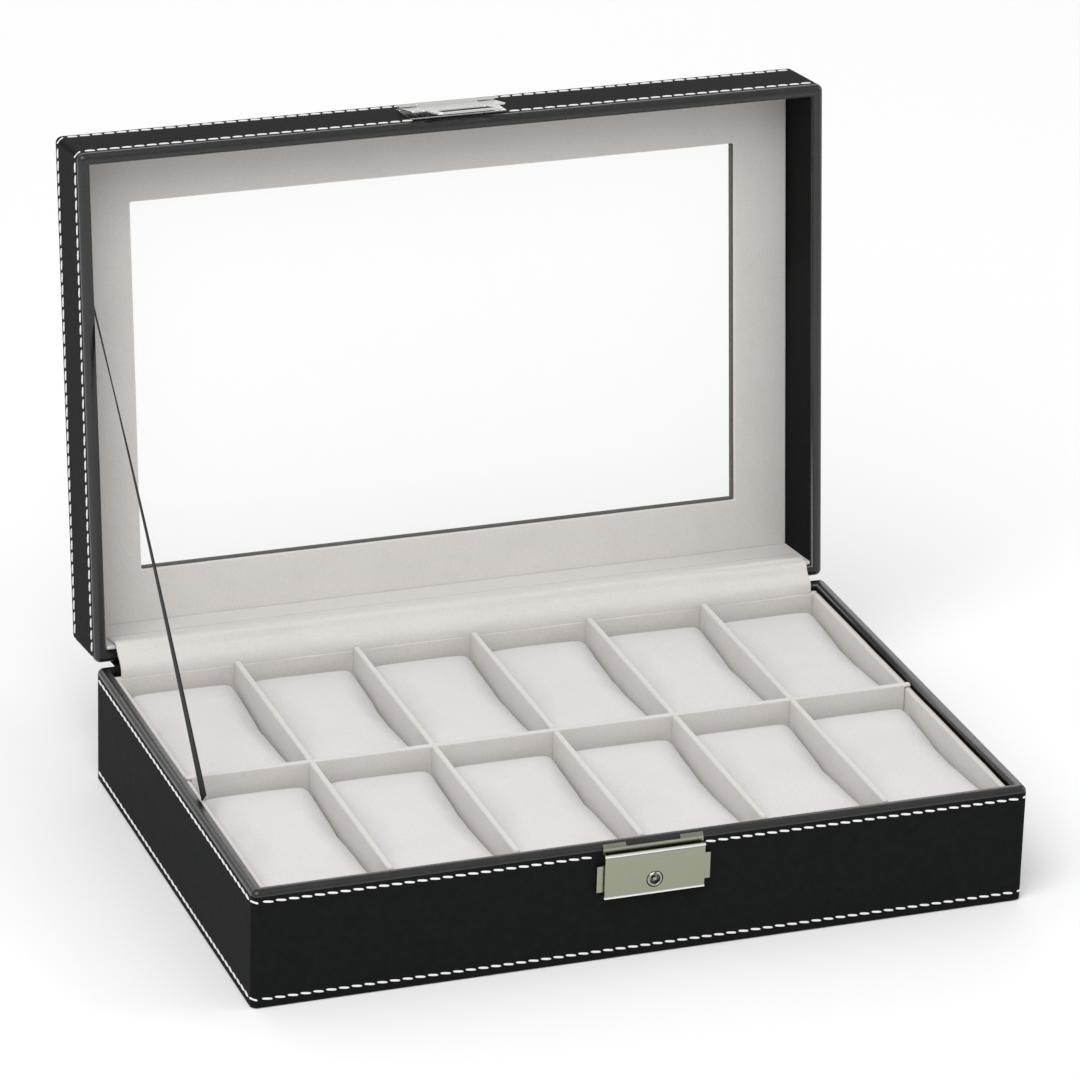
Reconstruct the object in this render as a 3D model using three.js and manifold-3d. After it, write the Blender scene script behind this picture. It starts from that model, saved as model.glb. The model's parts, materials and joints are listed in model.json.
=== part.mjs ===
// Display box for twelve watches: a leather covered tray with velvet pillows,
// a window lid on a cloth hinge, a ribbon stay and a small key lock with a swinging hasp.
// Millimetres, +X right, +Y back, +Z up. The origin is the middle of the underside.

import * as THREE from 'three';
import { mergeVertices } from 'three/addons/utils/BufferGeometryUtils.js';
import Module from 'manifold-3d';

// ---------- driving dimensions ----------

const WIDTH = 300; // outside, left to right
const DEPTH = 200; // outside, front to back
const TRAY_HEIGHT = 46.6; // floor to the top of the tray's rim
const LID_HEIGHT = 33.4; // lid's rim to its top
const RIM_GAP = 0.4; // between the two rims when the box is shut
const OPEN_ANGLE = 96.4; // degrees between the shut lid and the lid as it stands

const SKIN = 0.8; // leather
const BOARD = 2.6; // side boards
const GAP = 0.2; // between pieces that lie against each other
const CORNER = 2.5; // rounding of the upright corners
const OUTER_ARRIS = 2.2; // rounding of a rim's outer edge
const INNER_ARRIS = 1.6; // rounding of a rim's inner edge
const RIM = 2 * SKIN + BOARD + 2 * GAP; // leather, board and leather again
const RIM_ROLL = 2.0; // top of a side board to the top of the rim
const LINING = 2.4; // velvet over card
const TRAY_LINING_TOP = 44.0;
const FELT = 1.0; // underside
const FLOOR_BOARD = 3.0;

const DIVIDER = 2.4;
const DIVIDER_TOP = 45.4;
const COLUMNS = 6;
const ROWS = 2;
const LAP = 25; // height at which the crossed dividers meet

const PILLOW_SIDE_GAP = 0.5;
const PILLOW_BACK_GAP = 3.0;
const PILLOW_TOP = 41.2;
const PILLOW_LENGTH = 80;

const GLASS = 1.6;
const GLASS_OVERLAP = 8; // glass beyond the window's edge
const TOP_BOARD = 2.0;
const LID_PANEL = 1.5; // velvet covered frame inside the lid
const FRAME_WIDTH = 27; // outside of the lid to the window

const LOCK_X = 1.5; // the lock sits a touch right of the middle
const LOCK_WIDTH = 38.7;
const LOCK_BOTTOM = 26.0;
const LOCK_TOP = 43.4;
const LOCK_PROUD = 3.3; // out from the leather
const LOCK_PLATE = 0.6;
const LOCK_PLATE_GAP = 0.2;
const LOCK_WALL = 1.2;
const BARREL_Z = 31.8;
const BARREL_RADIUS = 2.9;
const BOLT_Z = 41.0;
const BOLT = { width: 6, height: 2.4, length: 3.8 };

const HASP_AXIS_Z = 66.0; // with the lid shut
const HASP_AXIS_OUT = 2.2; // out from the leather
const HASP_SWING = 7.3; // degrees that the flap stands off the lid
const HASP_SHEET = 0.6;
const HASP_KNUCKLE = 1.15;
const HASP_PIN = 0.55;
const HASP_TIP_Z = 36.4;

const STAY = { width: 6, thickness: 0.6, inset: 5.6 };

// ---------- worked out from them ----------

const TRAY_RIM_Z = TRAY_HEIGHT;
const LID_RIM_Z = TRAY_HEIGHT + RIM_GAP;
const LID_TOP_Z = LID_RIM_Z + LID_HEIGHT;
const HINGE_Y = DEPTH / 2 + RIM_GAP;
const HINGE_Z = TRAY_HEIGHT + RIM_GAP / 2;
const INNER = RIM + GAP + LINING; // outside of the tray to the slots
const SLOT_WIDTH = (WIDTH - 2 * INNER - (COLUMNS - 1) * DIVIDER) / COLUMNS;
const SLOT_LENGTH = (DEPTH - 2 * INNER - (ROWS - 1) * DIVIDER) / ROWS;
const WALL_BASE_Z = FELT + GAP + FLOOR_BOARD + GAP;
const FLOOR_TOP_Z = WALL_BASE_Z + 1.2;
const FRONT = -DEPTH / 2;
const GLASS_Z = LID_TOP_Z - SKIN - GAP - TOP_BOARD - GAP - GLASS;
const PANEL_Z = GLASS_Z - GAP - LID_PANEL;

// ---------- materials ----------

function finish(color, roughness, metalness = 0) {
  return new THREE.MeshStandardMaterial({ color, roughness, metalness });
}

const leather = () => finish(0x1b1c1c, 0.45);
const velvet = () => finish(0xd2cecc, 0.95);
const pillowVelvet = () => finish(0xe2dfdf, 0.95);
const board = () => finish(0x8a7355, 0.9);
const felt = () => finish(0x202020, 1.0);
const chrome = () => finish(0xd8d9d6, 0.12, 1.0);
const nickel = () => finish(0x9a9f8a, 0.3, 1.0);
const ribbon = () => finish(0x1d1c1c, 0.8);
const glass = () => new THREE.MeshStandardMaterial({
  color: 0xf4f8f7, roughness: 0.02, transparent: true, opacity: 0.2,
});

// ---------- joins and cuts ----------

const wasm = await Module();
wasm.setup();

function toSolid(geometry) {
  const bare = geometry.clone();
  bare.deleteAttribute('normal');
  bare.deleteAttribute('uv');
  const merged = mergeVertices(bare, 1e-4);
  return new wasm.Manifold(new wasm.Mesh({
    numProp: 3,
    vertProperties: new Float32Array(merged.attributes.position.array),
    triVerts: new Uint32Array(merged.index.array),
  }));
}

function toGeometry(solid) {
  const mesh = solid.getMesh();
  const geometry = new THREE.BufferGeometry();
  geometry.setAttribute('position', new THREE.BufferAttribute(mesh.vertProperties, 3));
  geometry.setIndex(new THREE.BufferAttribute(mesh.triVerts, 1));
  geometry.computeVertexNormals();
  return geometry;
}

function join(...geometries) {
  return toGeometry(geometries.map(toSolid).reduce((whole, piece) => whole.add(piece)));
}

function cut(geometry, ...tools) {
  return toGeometry(tools.map(toSolid).reduce((rest, tool) => rest.subtract(tool), toSolid(geometry)));
}

// ---------- shape helpers ----------

// A box from its low corner to its high corner.
function block([x0, y0, z0], [x1, y1, z1]) {
  const geometry = new THREE.BoxGeometry(x1 - x0, y1 - y0, z1 - z0);
  return geometry.translate((x0 + x1) / 2, (y0 + y1) / 2, (z0 + z1) / 2);
}

// A cylinder along Y between two depths.
function boreAlongY(x, z, radius, y0, y1, sides = 32) {
  const geometry = new THREE.CylinderGeometry(radius, radius, y1 - y0, sides);
  return geometry.translate(x, (y0 + y1) / 2, z);
}

// A cylinder along X between two places.
function rodAlongX(x0, x1, y, z, radius, sides = 20) {
  const geometry = new THREE.CylinderGeometry(radius, radius, x1 - x0, sides);
  return geometry.rotateZ(Math.PI / 2).translate((x0 + x1) / 2, y, z);
}

// Points along straight runs whose corners are rounded: each vertex is [x, y, radius].
function filleted(vertices, steps = 5) {
  const points = [];
  vertices.forEach(([x, y, radius = 0], i) => {
    const here = new THREE.Vector2(x, y);
    if (radius === 0) {
      points.push(here);
      return;
    }
    const before = new THREE.Vector2(...vertices[i - 1].slice(0, 2)).sub(here).normalize();
    const after = new THREE.Vector2(...vertices[i + 1].slice(0, 2)).sub(here).normalize();
    const half = Math.acos(THREE.MathUtils.clamp(before.dot(after), -1, 1)) / 2;
    const centre = before.clone().add(after).normalize().multiplyScalar(radius / Math.sin(half)).add(here);
    const start = before.clone().multiplyScalar(radius / Math.tan(half)).add(here).sub(centre);
    const end = after.clone().multiplyScalar(radius / Math.tan(half)).add(here).sub(centre);
    const turn = Math.atan2(start.cross(end), start.dot(end));
    for (let k = 0; k <= steps; k += 1) {
      points.push(start.clone().rotateAround(new THREE.Vector2(), (turn * k) / steps).add(centre));
    }
  });
  return points;
}

// The closed outline of a sheet whose one face follows the points; it thickens to their left.
function sheetOutline(points, thickness) {
  const inner = points.map((point, i) => {
    const into = point.clone().sub(points[Math.max(i - 1, 0)]);
    const out = points[Math.min(i + 1, points.length - 1)].clone().sub(point);
    const a = (i === 0 ? out : into).clone().normalize();
    const b = (i === points.length - 1 ? into : out).clone().normalize();
    const normal = new THREE.Vector2(-a.y - b.y, a.x + b.x).normalize();
    const stretch = Math.sqrt((1 + a.dot(b)) / 2);
    return normal.multiplyScalar(thickness / stretch).add(point);
  });
  return [...points, ...inner.reverse()];
}

// A (y, z) outline drawn out along X.
function extrudeAlongX(outline, x0, x1) {
  const geometry = new THREE.ExtrudeGeometry(new THREE.Shape(outline), {
    depth: x1 - x0, bevelEnabled: false, curveSegments: 10,
  });
  const toX = new THREE.Matrix4().makeBasis(
    new THREE.Vector3(0, 1, 0), new THREE.Vector3(0, 0, 1), new THREE.Vector3(1, 0, 0),
  );
  return geometry.applyMatrix4(toX).translate(x0, 0, 0);
}

// An (x, z) shape drawn out along Y, with its long edges rounded over.
function plateAlongY(shape, y0, y1, bevel = 0) {
  const geometry = new THREE.ExtrudeGeometry(shape, {
    depth: y1 - y0 - 2 * bevel,
    bevelEnabled: bevel > 0,
    bevelThickness: bevel,
    bevelSize: bevel,
    bevelOffset: -bevel,
    bevelSegments: 2,
    curveSegments: 6,
  });
  return geometry.rotateX(Math.PI / 2).translate(0, y1 - bevel, 0);
}

// One closed loop at a distance inside a rectangle whose corners are rounded.
function roundedLoop(halfX, halfY, inset, steps = 4) {
  const radius = Math.max(CORNER - inset, 0.25);
  const points = [];
  for (let corner = 0; corner < 4; corner += 1) {
    const sx = corner === 0 || corner === 3 ? 1 : -1;
    const sy = corner < 2 ? 1 : -1;
    for (let k = 0; k <= steps; k += 1) {
      const angle = ((corner + k / steps) * Math.PI) / 2;
      points.push([
        sx * (halfX - inset - radius) + radius * Math.cos(angle),
        sy * (halfY - inset - radius) + radius * Math.sin(angle),
      ]);
    }
  }
  return points;
}

// A section of (minus inset, height) points, anticlockwise, swept once round the box.
function sweptRound(section) {
  const loops = section.map(({ x, y }) => ({ loop: roundedLoop(WIDTH / 2, DEPTH / 2, -x), z: y }));
  const count = loops[0].loop.length;
  const position = loops.flatMap(({ loop, z }) => loop.flatMap(([px, py]) => [px, py, z]));
  const index = [];
  for (let j = 0; j < loops.length; j += 1) {
    const up = ((j + 1) % loops.length) * count;
    for (let i = 0; i < count; i += 1) {
      const next = (i + 1) % count;
      index.push(j * count + i, j * count + next, up + next);
      index.push(j * count + i, up + next, up + i);
    }
  }
  const geometry = new THREE.BufferGeometry();
  geometry.setAttribute('position', new THREE.Float32BufferAttribute(position, 3));
  geometry.setIndex(index);
  geometry.computeVertexNormals();
  return geometry;
}

// Boards lie inside the leather, so their upright corners are rounded to suit it.
function cornered(geometry) {
  const loop = roundedLoop(WIDTH / 2, DEPTH / 2, SKIN + GAP).map(([x, y]) => new THREE.Vector2(x, y));
  const depth = 2 * LID_TOP_Z;
  const prism = new THREE.ExtrudeGeometry(new THREE.Shape(loop), { depth, bevelEnabled: false });
  return toGeometry(toSolid(geometry).intersect(toSolid(prism.translate(0, 0, -LID_TOP_Z))));
}

function rectangle(x0, z0, x1, z1) {
  return new THREE.Shape([
    new THREE.Vector2(x0, z0), new THREE.Vector2(x1, z0),
    new THREE.Vector2(x1, z1), new THREE.Vector2(x0, z1),
  ]);
}

// A flat frame lying at a height: outer half sizes, inner half sizes.
function flatFrame([outerX, outerY], [innerX, innerY], z, thickness) {
  const shape = rectangle(-outerX, -outerY, outerX, outerY);
  shape.holes.push(rectangle(-innerX, -innerY, innerX, innerY));
  const geometry = new THREE.ExtrudeGeometry(shape, { depth: thickness, bevelEnabled: false });
  return geometry.translate(0, 0, z);
}

// ---------- the group tree ----------

const box = new THREE.Group();
const tray = new THREE.Group();
const lid = new THREE.Group();
const lidPivot = new THREE.Group();
const hasp = new THREE.Group();
lidPivot.position.set(0, HINGE_Y, HINGE_Z);
lidPivot.rotation.x = -THREE.MathUtils.degToRad(OPEN_ANGLE);
lid.position.set(0, -HINGE_Y, -HINGE_Z);
lidPivot.add(lid);
box.add(tray, lidPivot);

function place(parent, name, geometry, material) {
  const mesh = new THREE.Mesh(geometry, material);
  mesh.name = name;
  parent.add(mesh);
  return mesh;
}

// ---------- tray ----------

function buildTrayShell() {
  const edge = SKIN + GAP;
  const x = WIDTH / 2 - edge;
  const y = DEPTH / 2 - edge;
  const top = TRAY_RIM_Z - RIM_ROLL;
  const bottom = block([-x, -y, FELT + GAP], [x, y, FELT + GAP + FLOOR_BOARD]);
  place(tray, 'base_underside', cornered(block([-x, -y, 0], [x, y, FELT])), felt());
  place(tray, 'base_bottom_board', cornered(bottom), board());
  const front = cornered(block([-x, -y, WALL_BASE_Z], [x, BOARD - y, top]));
  place(tray, 'base_wall_front', cut(front, barrelBore(), boltBore()), board());
  place(tray, 'base_wall_back', cornered(block([-x, y - BOARD, WALL_BASE_Z], [x, y, top])), board());
  const between = y - BOARD - GAP;
  place(tray, 'base_wall_left', block([-x, -between, WALL_BASE_Z], [BOARD - x, between, top]), board());
  place(tray, 'base_wall_right', block([x - BOARD, -between, WALL_BASE_Z], [x, between, top]), board());
}

// The cover runs up the outside, rolls over the rim and goes a little way down the inside.
function buildTrayLeather() {
  const face = filleted([
    [0, 0.4],
    [0, TRAY_RIM_Z, OUTER_ARRIS],
    [-RIM, TRAY_RIM_Z, INNER_ARRIS],
    [-RIM, TRAY_RIM_Z - 12],
  ]);
  const skin = sweptRound(sheetOutline(face, SKIN));
  place(tray, 'base_leather', cut(skin, barrelBore(), boltBore()), leather());
}

function linedPanel(length, z0, z1) {
  const outline = filleted([
    [0, z0], [LINING, z0], [LINING, z1, 1.1], [0, z1, 1.1], [0, z0],
  ], 4).slice(0, -1);
  return extrudeAlongX(outline, -length / 2, length / 2);
}

function buildTrayLinings() {
  const inside = RIM + GAP;
  const longRun = WIDTH - 2 * inside;
  const shortRun = DEPTH - 2 * inside - 2 * (LINING + GAP);
  const back = linedPanel(longRun, WALL_BASE_Z, TRAY_LINING_TOP);
  place(tray, 'base_lining_back', back.translate(0, DEPTH / 2 - INNER, 0), velvet());
  const front = linedPanel(longRun, WALL_BASE_Z, TRAY_LINING_TOP);
  place(tray, 'base_lining_front', front.translate(0, FRONT + inside, 0), velvet());
  [['left', -1], ['right', 1]].forEach(([side, sign]) => {
    const shape = linedPanel(shortRun, WALL_BASE_Z, TRAY_LINING_TOP);
    const panel = place(tray, `base_lining_${side}`, shape, velvet());
    panel.rotation.z = (-sign * Math.PI) / 2;
    panel.position.x = sign * (WIDTH / 2 - INNER);
  });
  const x = WIDTH / 2 - INNER - GAP;
  const y = DEPTH / 2 - INNER - GAP;
  place(tray, 'base_lining_floor', block([-x, -y, WALL_BASE_Z], [x, y, FLOOR_TOP_Z]), velvet());
}

// ---------- dividers ----------

function dividerPlaces() {
  const pitch = SLOT_WIDTH + DIVIDER;
  return Array.from({ length: COLUMNS - 1 }, (_, i) => (i - (COLUMNS - 2) / 2) * pitch);
}

// The long divider has a tab at each end that rests on the lining, and slots for the short ones.
function buildDividers() {
  const slot = DIVIDER / 2 + 0.15;
  const floor = FLOOR_TOP_Z + GAP;
  const reach = WIDTH / 2 - INNER - GAP;
  const tab = reach + LINING;
  const ledge = TRAY_LINING_TOP + GAP;
  const outline = [[-reach, floor], [reach, floor], [reach, ledge], [tab, ledge], [tab, DIVIDER_TOP]];
  dividerPlaces().reverse().forEach((x) => {
    outline.push([x + slot, DIVIDER_TOP], [x + slot, LAP], [x - slot, LAP], [x - slot, DIVIDER_TOP]);
  });
  outline.push([-tab, DIVIDER_TOP], [-tab, ledge], [-reach, ledge]);
  const long = new THREE.Shape(outline.map(([x, z]) => new THREE.Vector2(x, z)));
  place(tray, 'divider_long', plateAlongY(long, -DIVIDER / 2, DIVIDER / 2, 0.45), velvet());

  const half = DEPTH / 2 - INNER - GAP;
  dividerPlaces().forEach((x, i) => {
    const short = new THREE.Shape([
      [-half, floor], [-slot, floor], [-slot, LAP + GAP], [slot, LAP + GAP], [slot, floor], [half, floor],
      [half, DIVIDER_TOP], [-half, DIVIDER_TOP],
    ].map(([y, z]) => new THREE.Vector2(y, z)));
    const plate = plateAlongY(short, -DIVIDER / 2, DIVIDER / 2, 0.45);
    const mesh = place(tray, `divider_cross_${i + 1}`, plate, velvet());
    mesh.rotation.z = Math.PI / 2;
    mesh.position.x = x;
  });
}

// ---------- pillows ----------

// A quarter of a rounded outline between a flat run and an upright end.
function quarter(centre, radii, power, from, steps = 7) {
  return Array.from({ length: steps + 1 }, (_, k) => {
    const angle = from + (k / steps) * (Math.PI / 2);
    const c = Math.cos(angle);
    const s = Math.sin(angle);
    return new THREE.Vector2(
      centre[0] + radii[0] * Math.sign(c) * Math.abs(c) ** (2 / power),
      centre[1] + radii[1] * Math.sign(s) * Math.abs(s) ** (2 / power),
    );
  });
}

// Seen from the side a pillow is a roll: blunt in front and long and low behind.
function pillowOutline() {
  const floor = FLOOR_TOP_Z + GAP;
  const half = (PILLOW_TOP - floor) / 2;
  const middle = floor + half;
  const frontRound = 13;
  const backRound = 35;
  const backCentre = PILLOW_LENGTH / 2 - backRound;
  const frontCentre = frontRound - PILLOW_LENGTH / 2;
  return [
    ...quarter([backCentre, middle], [backRound, half], 3.0, 0),
    ...quarter([frontCentre, middle], [frontRound, half], 2.4, Math.PI / 2),
    ...quarter([frontCentre, middle], [frontRound, half], 2.4, Math.PI),
    ...quarter([backCentre, middle], [backRound, half], 3.0, 1.5 * Math.PI).slice(0, -1),
  ];
}

function buildPillows() {
  const half = SLOT_WIDTH / 2 - PILLOW_SIDE_GAP;
  const outline = pillowOutline().filter((point, i, all) => i === 0 || point.distanceTo(all[i - 1]) > 0.01);
  for (let row = 0; row < ROWS; row += 1) {
    for (let column = 0; column < COLUMNS; column += 1) {
      const slotBack = DEPTH / 2 - INNER - row * (SLOT_LENGTH + DIVIDER);
      const name = `pillow_${row === 0 ? 'back' : 'front'}_${column + 1}`;
      const pillow = place(tray, name, extrudeAlongX(outline, -half, half), pillowVelvet());
      pillow.position.x = (column - (COLUMNS - 1) / 2) * (SLOT_WIDTH + DIVIDER);
      pillow.position.y = slotBack - PILLOW_BACK_GAP - PILLOW_LENGTH / 2;
    }
  }
}

// ---------- lid ----------

function buildLidShell() {
  const edge = SKIN + GAP;
  const x = WIDTH / 2 - edge;
  const y = DEPTH / 2 - edge;
  const z0 = LID_RIM_Z + RIM_ROLL;
  const z1 = LID_TOP_Z - SKIN - GAP - TOP_BOARD - GAP;
  const between = y - BOARD - GAP;
  place(lid, 'lid_wall_front', cornered(block([-x, -y, z0], [x, BOARD - y, z1])), board());
  place(lid, 'lid_wall_back', cornered(block([-x, y - BOARD, z0], [x, y, z1])), board());
  place(lid, 'lid_wall_left', block([-x, -between, z0], [BOARD - x, between, z1]), board());
  place(lid, 'lid_wall_right', block([x - BOARD, -between, z0], [x, between, z1]), board());
  const window = FRAME_WIDTH - SKIN - GAP;
  const hole = [WIDTH / 2 - window, DEPTH / 2 - window];
  const panel = flatFrame([x - 1, y - 1], hole, z1 + GAP, TOP_BOARD);
  place(lid, 'lid_top_board', cornered(panel), board());
}

// One skin: inside flap, rolled rim, side, top and the turned-in edge of the window.
function buildLidLeather() {
  const face = filleted([
    [-RIM, GLASS_Z + GLASS - GAP],
    [-RIM, LID_RIM_Z, INNER_ARRIS],
    [0, LID_RIM_Z, OUTER_ARRIS],
    [0, LID_TOP_Z, OUTER_ARRIS],
    [-FRAME_WIDTH, LID_TOP_Z, 1.0],
    [-FRAME_WIDTH, GLASS_Z + GLASS + GAP],
  ]);
  place(lid, 'lid_leather', sweptRound(sheetOutline(face, SKIN)), leather());
}

function buildLidWindow() {
  const window = [WIDTH / 2 - FRAME_WIDTH, DEPTH / 2 - FRAME_WIDTH];
  const pane = window.map((half) => half + GLASS_OVERLAP);
  const inside = [WIDTH / 2 - RIM - GAP, DEPTH / 2 - RIM - GAP];
  place(lid, 'lid_glass', block([-pane[0], -pane[1], GLASS_Z], [pane[0], pane[1], GLASS_Z + GLASS]), glass());
  const rebate = pane.map((half) => half + GAP);
  place(lid, 'lid_spacer_frame', flatFrame(inside, rebate, GLASS_Z, GLASS), board());
  place(lid, 'lid_velvet_panel', flatFrame(inside, window, PANEL_Z, LID_PANEL), velvet());
  const z = [LID_RIM_Z + 1.0, PANEL_Z - GAP];
  const back = block([-inside[0], inside[1] - LID_PANEL, z[0]], [inside[0], inside[1], z[1]]);
  place(lid, 'lid_lining_back', back, velvet());
}

// ---------- cloth hinge and ribbon stay ----------

// A point of the shut lid, (y, z), moved to where it is with the lid open.
function opened(y, z) {
  const hinge = new THREE.Vector2(HINGE_Y, HINGE_Z);
  return new THREE.Vector2(y, z).rotateAround(hinge, lidPivot.rotation.x);
}

// Outside: a strip of leather glued down the tray's back and over the lid's back.
function buildHingeSpine() {
  const thickness = 0.7;
  const out = DEPTH / 2 + GAP + thickness;
  const mitre = (out - HINGE_Y) * Math.tan(THREE.MathUtils.degToRad(OPEN_ANGLE / 2));
  const face = filleted([
    [out, TRAY_RIM_Z - 11],
    [out, HINGE_Z - mitre, 1.0],
    opened(out, LID_RIM_Z + 11).toArray(),
  ], 4);
  place(box, 'hinge_spine', extrudeAlongX(sheetOutline(face, thickness), -142, 142), leather());
}

// Inside: velvet cloth that bridges from the lid's back lining to the tray's.
function buildHingeLining() {
  const lidSurface = DEPTH / 2 - RIM - GAP - LID_PANEL;
  const face = filleted([
    [DEPTH / 2 - INNER + 0.2, TRAY_LINING_TOP + 0.3],
    [DEPTH / 2 - INNER + 0.5, TRAY_LINING_TOP + 3.2, 1.6],
    [DEPTH / 2 - 2.3, TRAY_RIM_Z + 5.0, 3],
    [...opened(lidSurface - 1.5, LID_RIM_Z - 0.6).toArray(), 1.6],
    opened(lidSurface - 1.5, LID_RIM_Z + 6).toArray(),
  ], 4).reverse();
  place(box, 'hinge_lining', extrudeAlongX(sheetOutline(face, 1.1), -142, 142), velvet());
}

// The ribbon stay runs straight from the tray's left rim to the lid's left wall.
function buildStay() {
  const low = new THREE.Vector2(-21.8, TRAY_LINING_TOP + 2.6);
  const high = opened(-43, 57.6);
  const run = high.clone().sub(low);
  const strap = new THREE.BoxGeometry(STAY.thickness, run.length(), STAY.width);
  const stay = place(box, 'stay_ribbon', strap, ribbon());
  const middle = low.clone().add(high).multiplyScalar(0.5);
  stay.position.set(STAY.inset + STAY.thickness / 2 - WIDTH / 2, middle.x, middle.y);
  stay.rotation.x = run.angle();
}

// ---------- lock ----------

function barrelBore() {
  return boreAlongY(LOCK_X, BARREL_Z, BARREL_RADIUS + 0.3, FRONT - 6, FRONT + 3.3);
}

function boltBore() {
  const x = BOLT.width / 2 + 0.3;
  const z = BOLT.height / 2 + 0.3;
  return block([LOCK_X - x, FRONT - 1, BOLT_Z - z], [LOCK_X + x, FRONT + 3.3, BOLT_Z + z]);
}

// Back plate: flat on the leather, curled over the rim's edge, with an ear at each side.
function buildLockPlate() {
  const inner = -LOCK_PLATE_GAP;
  const bend = OUTER_ARRIS - inner;
  const arc = Array.from({ length: 7 }, (_, k) => {
    const angle = THREE.MathUtils.degToRad((50 * k) / 6);
    const centre = [FRONT + OUTER_ARRIS, TRAY_RIM_Z - OUTER_ARRIS];
    return new THREE.Vector2(centre[0] - bend * Math.cos(angle), centre[1] + bend * Math.sin(angle));
  });
  const face = [new THREE.Vector2(FRONT + inner, LOCK_BOTTOM), ...arc];
  const side = LOCK_WIDTH / 2;
  const sheet = extrudeAlongX(sheetOutline(face, LOCK_PLATE), LOCK_X - side, LOCK_X + side);
  const back = FRONT - LOCK_PLATE_GAP;
  const earOut = FRONT - LOCK_PROUD + 1.35;
  const ears = [-1, 1].map((sign) => {
    const near = LOCK_X + sign * (LOCK_WIDTH / 2 + GAP);
    const far = LOCK_X + sign * (LOCK_WIDTH / 2 + 2.6);
    return block([Math.min(near, far), earOut, 28.6], [Math.max(near, far), back, 39.0]);
  });
  const half = LOCK_WIDTH / 2 + 1;
  const bridge = block([LOCK_X - half, back - LOCK_PLATE, 28.6], [LOCK_X + half, back, 39.0]);
  const notch = 10.5;
  const low = [LOCK_X - notch, FRONT - 4, TRAY_RIM_Z - 1.3];
  const mouth = block(low, [LOCK_X + notch, FRONT + 3, TRAY_RIM_Z + 2]);
  const plate = cut(join(sheet, bridge, ...ears), mouth, barrelBore(), boltBore());
  place(tray, 'lock_back_plate', plate, chrome());
}

// Cover: a shallow case, open behind and along its top, with broad bevels above and below.
function buildLockCover() {
  const out = FRONT - LOCK_PROUD;
  const back = FRONT - LOCK_PLATE_GAP - LOCK_PLATE - GAP;
  const bevel = 1.0;
  const outline = [
    [back, LOCK_BOTTOM], [out + bevel, LOCK_BOTTOM], [out, LOCK_BOTTOM + bevel],
    [out, LOCK_TOP - bevel], [out + bevel, LOCK_TOP], [back, LOCK_TOP],
  ].reverse().map(([y, z]) => new THREE.Vector2(y, z));
  const body = extrudeAlongX(outline, LOCK_X - LOCK_WIDTH / 2, LOCK_X + LOCK_WIDTH / 2);
  const wall = 0.7;
  const hollow = block(
    [LOCK_X - LOCK_WIDTH / 2 + wall, out + LOCK_WALL, LOCK_BOTTOM + wall + 0.6],
    [LOCK_X + LOCK_WIDTH / 2 - wall, back + 1, LOCK_TOP + 1],
  );
  place(tray, 'lock_cover', cut(body, hollow, barrelBore()), nickel());
}

// Barrel for a pipe key: a tube with a post in its middle and a notch in its lip.
function buildLockBarrel() {
  const face = FRONT - LOCK_PROUD - 0.3;
  const length = FRONT + 3.0 - face;
  const profile = [
    [0, 0], [BARREL_RADIUS, 0], [BARREL_RADIUS, length - 0.3], [BARREL_RADIUS - 0.3, length],
    [2.1, length], [1.9, length - 0.3], [1.9, length - 3],
    [0.75, length - 3], [0.75, length - 0.5], [0, length - 0.3],
  ].map(([radius, height]) => new THREE.Vector2(radius, height));
  const tube = new THREE.LatheGeometry(profile, 32).rotateX(Math.PI);
  tube.translate(LOCK_X, FRONT + 3.0, BARREL_Z);
  const notch = block([LOCK_X - 0.4, face - 1, BARREL_Z + 1.5], [LOCK_X + 0.4, face + 1.2, BARREL_Z + 3.5]);
  place(tray, 'lock_barrel', cut(tube, notch), chrome());
}

function buildLockBolt() {
  const y0 = FRONT - 0.6;
  const bolt = block(
    [LOCK_X - BOLT.width / 2, y0, BOLT_Z - BOLT.height / 2],
    [LOCK_X + BOLT.width / 2, y0 + BOLT.length, BOLT_Z + BOLT.height / 2],
  );
  place(tray, 'lock_bolt', bolt, chrome());
}

// ---------- hasp ----------

function haspKnuckle(x0, x1, y, z) {
  return rodAlongX(x0, x1, y, z, HASP_KNUCKLE);
}

// Plate on the lid with a hinge knuckle at each end of its top edge.
function buildHaspPlate() {
  const back = FRONT - LOCK_PLATE_GAP;
  const axis = FRONT - HASP_AXIS_OUT;
  const edge = LOCK_X + LOCK_WIDTH / 2;
  const start = LOCK_X - LOCK_WIDTH / 2;
  const sheet = plateAlongY(rectangle(start, 51.5, edge, 68.6), back - HASP_SHEET, back);
  const ends = [[start, start + 7], [edge - 7, edge]].flatMap(([x0, x1]) => [
    haspKnuckle(x0, x1, axis, HASP_AXIS_Z),
    block([x0, axis, HASP_AXIS_Z], [x1, back - 0.2, HASP_AXIS_Z + HASP_KNUCKLE - 0.05]),
  ]);
  const bore = rodAlongX(start - 1, edge + 1, axis, HASP_AXIS_Z, HASP_PIN + 0.05);
  const rivets = [-1, 1].map((sign) => boreAlongY(LOCK_X + sign * 15, 57, 0.95, back - 2, back + 1, 16));
  place(lid, 'hasp_plate', cut(join(sheet, ...ends), bore, ...rivets), chrome());
  place(lid, 'hasp_pin', rodAlongX(start, edge, axis, HASP_AXIS_Z, HASP_PIN), chrome());
}

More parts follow.
